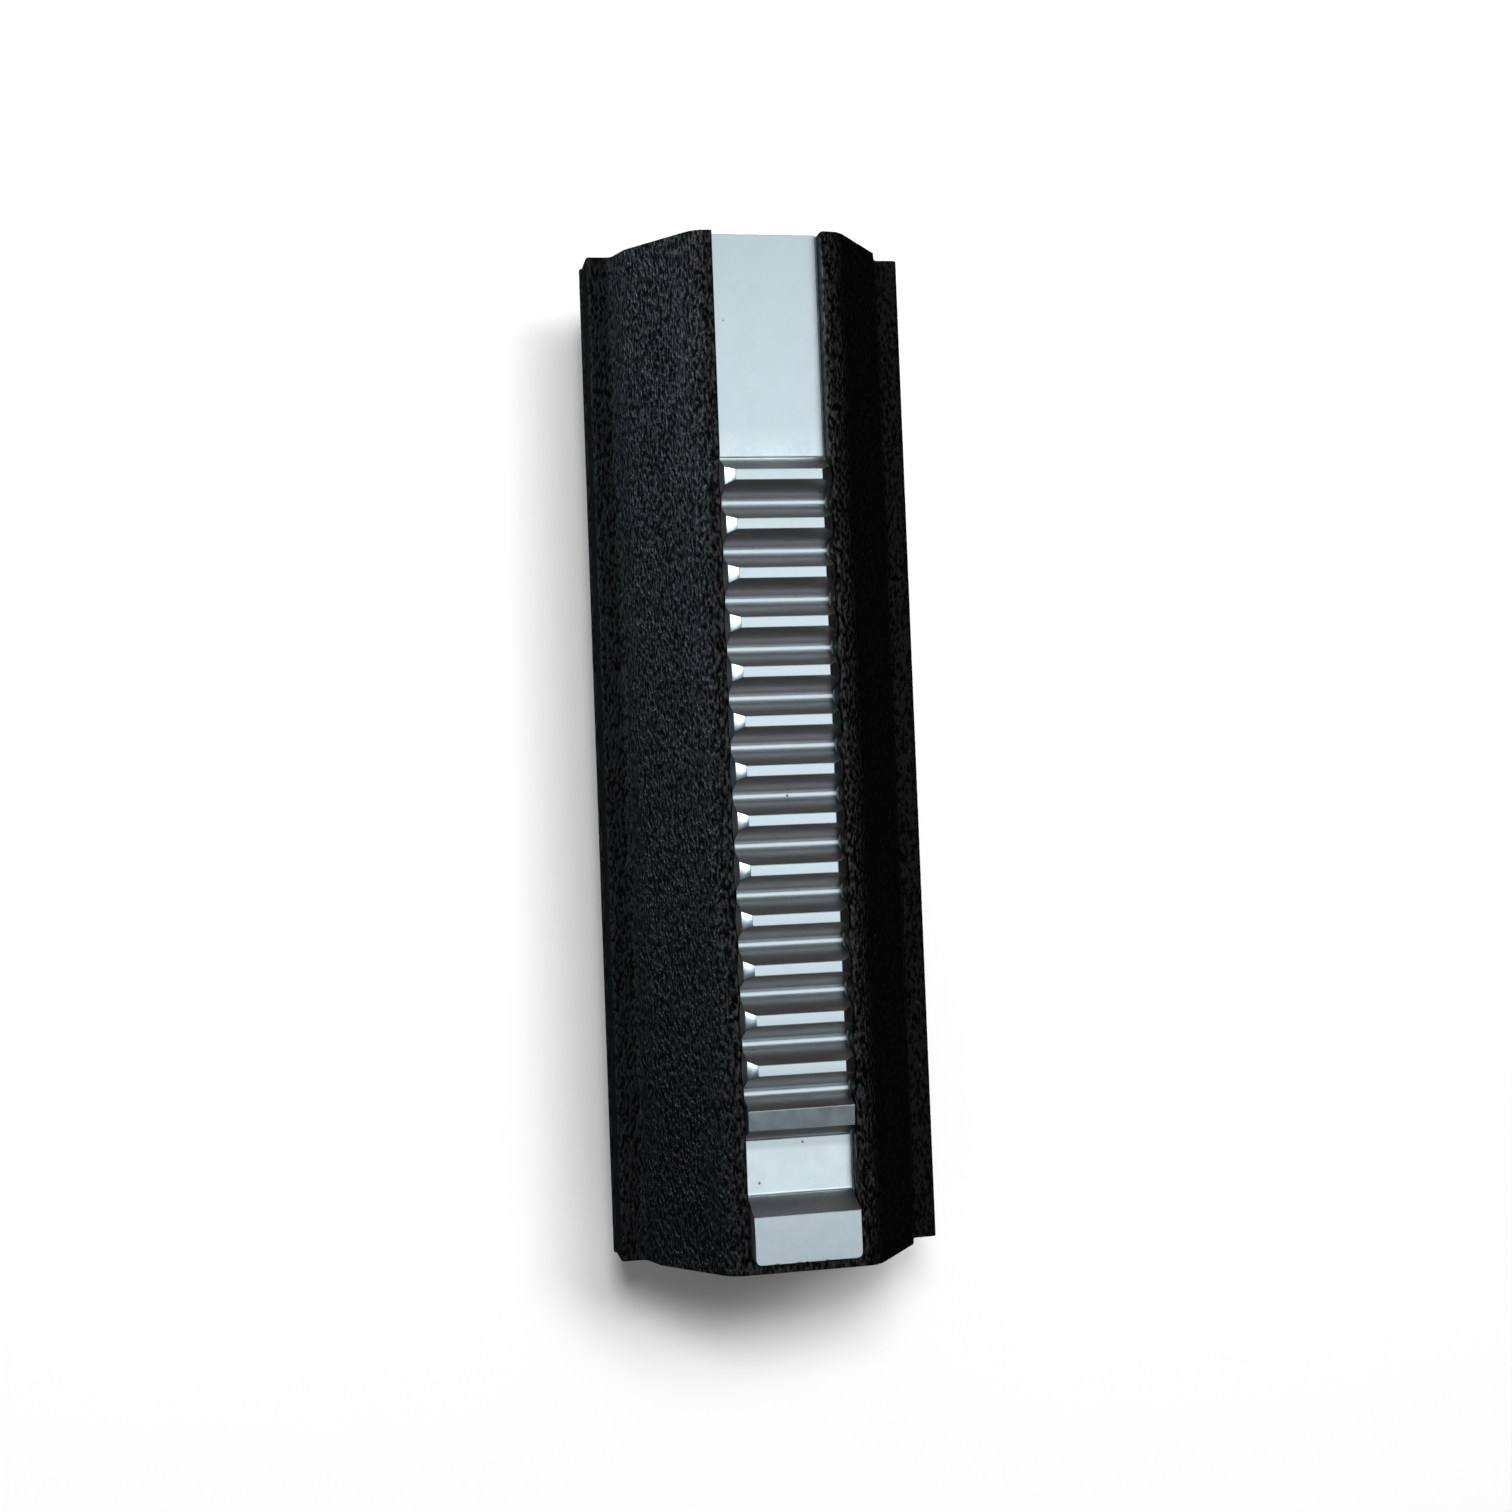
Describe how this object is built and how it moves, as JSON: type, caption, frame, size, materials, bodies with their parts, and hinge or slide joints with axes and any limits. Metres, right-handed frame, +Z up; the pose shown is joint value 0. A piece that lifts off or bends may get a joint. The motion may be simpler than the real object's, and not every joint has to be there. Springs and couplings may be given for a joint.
{
  "type": "gearbox spring piston",
  "caption": "Moulded nylon spring piston with faceted flanks, side guide rails and a bright steel tooth rack set in a channel along its top.",
  "frame": {"origin": "centre of the footprint, on the flat underside", "axes": "+Y along the piston towards its head end, +Z up through the rack, +X across"},
  "size_m": [0.0214, 0.0664, 0.0207],
  "materials": {
    "black_nylon": "moulded fibre-filled nylon with a fine pebbled grain",
    "rack_steel": "machined steel with a fine satin surface"
  },
  "bodies": {
    "root": {"piston_body": "black_nylon", "tooth_rack": "rack_steel"}
  },
  "joints": []
}
